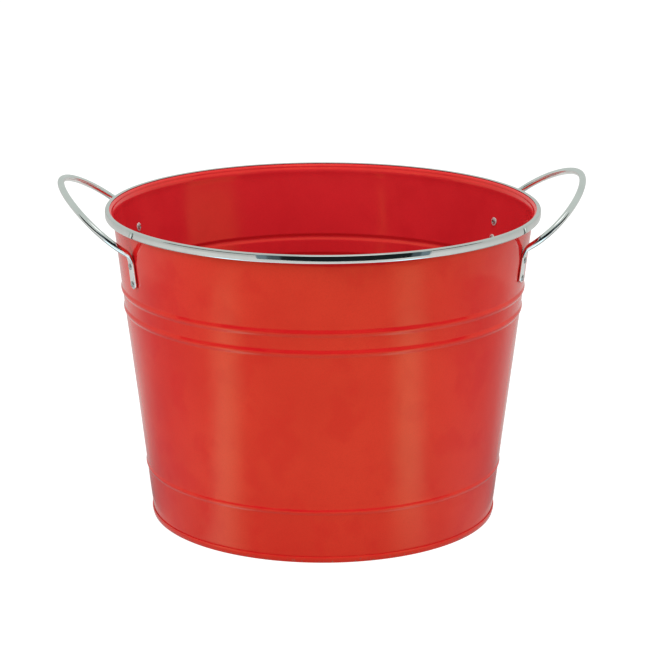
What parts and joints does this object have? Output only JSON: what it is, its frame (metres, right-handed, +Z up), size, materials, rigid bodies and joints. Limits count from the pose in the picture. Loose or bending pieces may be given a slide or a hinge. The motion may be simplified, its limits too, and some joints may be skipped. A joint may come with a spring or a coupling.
{
  "type": "two-handled metal bucket",
  "caption": "Tapered enamelled sheet-metal bucket with a bright capped rim, swaged beads and fixed rod handles riveted to opposite sides.",
  "frame": {"origin": "middle of the foot ring on the surface that the bucket stands on", "axes": "+X to one handle and -X to the other, +Y to the back, +Z up through the open mouth"},
  "size_m": [0.431, 0.356, 0.2827],
  "materials": {
    "wall_enamel": "glossy red enamel on steel sheet",
    "floor_enamel": "glossy red enamel on steel sheet",
    "rim_chrome": "bright polished chrome plate",
    "rod_chrome": "bright chrome plate on steel rod",
    "wire_steel": "plain drawn steel wire",
    "rivet_steel": "bright zinc plate",
    "washer_steel": "bright zinc plate"
  },
  "bodies": {
    "root": {"wall": "wall_enamel", "floor": "floor_enamel", "rim_trim": "rim_chrome", "rim_wire": "wire_steel", "handle_right": "rod_chrome", "handle_left": "rod_chrome", "rivet_right_back_upper": "rivet_steel", "rivet_right_back_lower": "rivet_steel", "rivet_right_front_upper": "rivet_steel", "rivet_right_front_lower": "rivet_steel", "rivet_left_back_upper": "rivet_steel", "rivet_left_back_lower": "rivet_steel", "rivet_left_front_upper": "rivet_steel", "rivet_left_front_lower": "rivet_steel", "washer_right_back_upper": "washer_steel", "washer_right_back_lower": "washer_steel", "washer_right_front_upper": "washer_steel", "washer_right_front_lower": "washer_steel", "washer_left_back_upper": "washer_steel", "washer_left_back_lower": "washer_steel", "washer_left_front_upper": "washer_steel", "washer_left_front_lower": "washer_steel"}
  },
  "joints": []
}
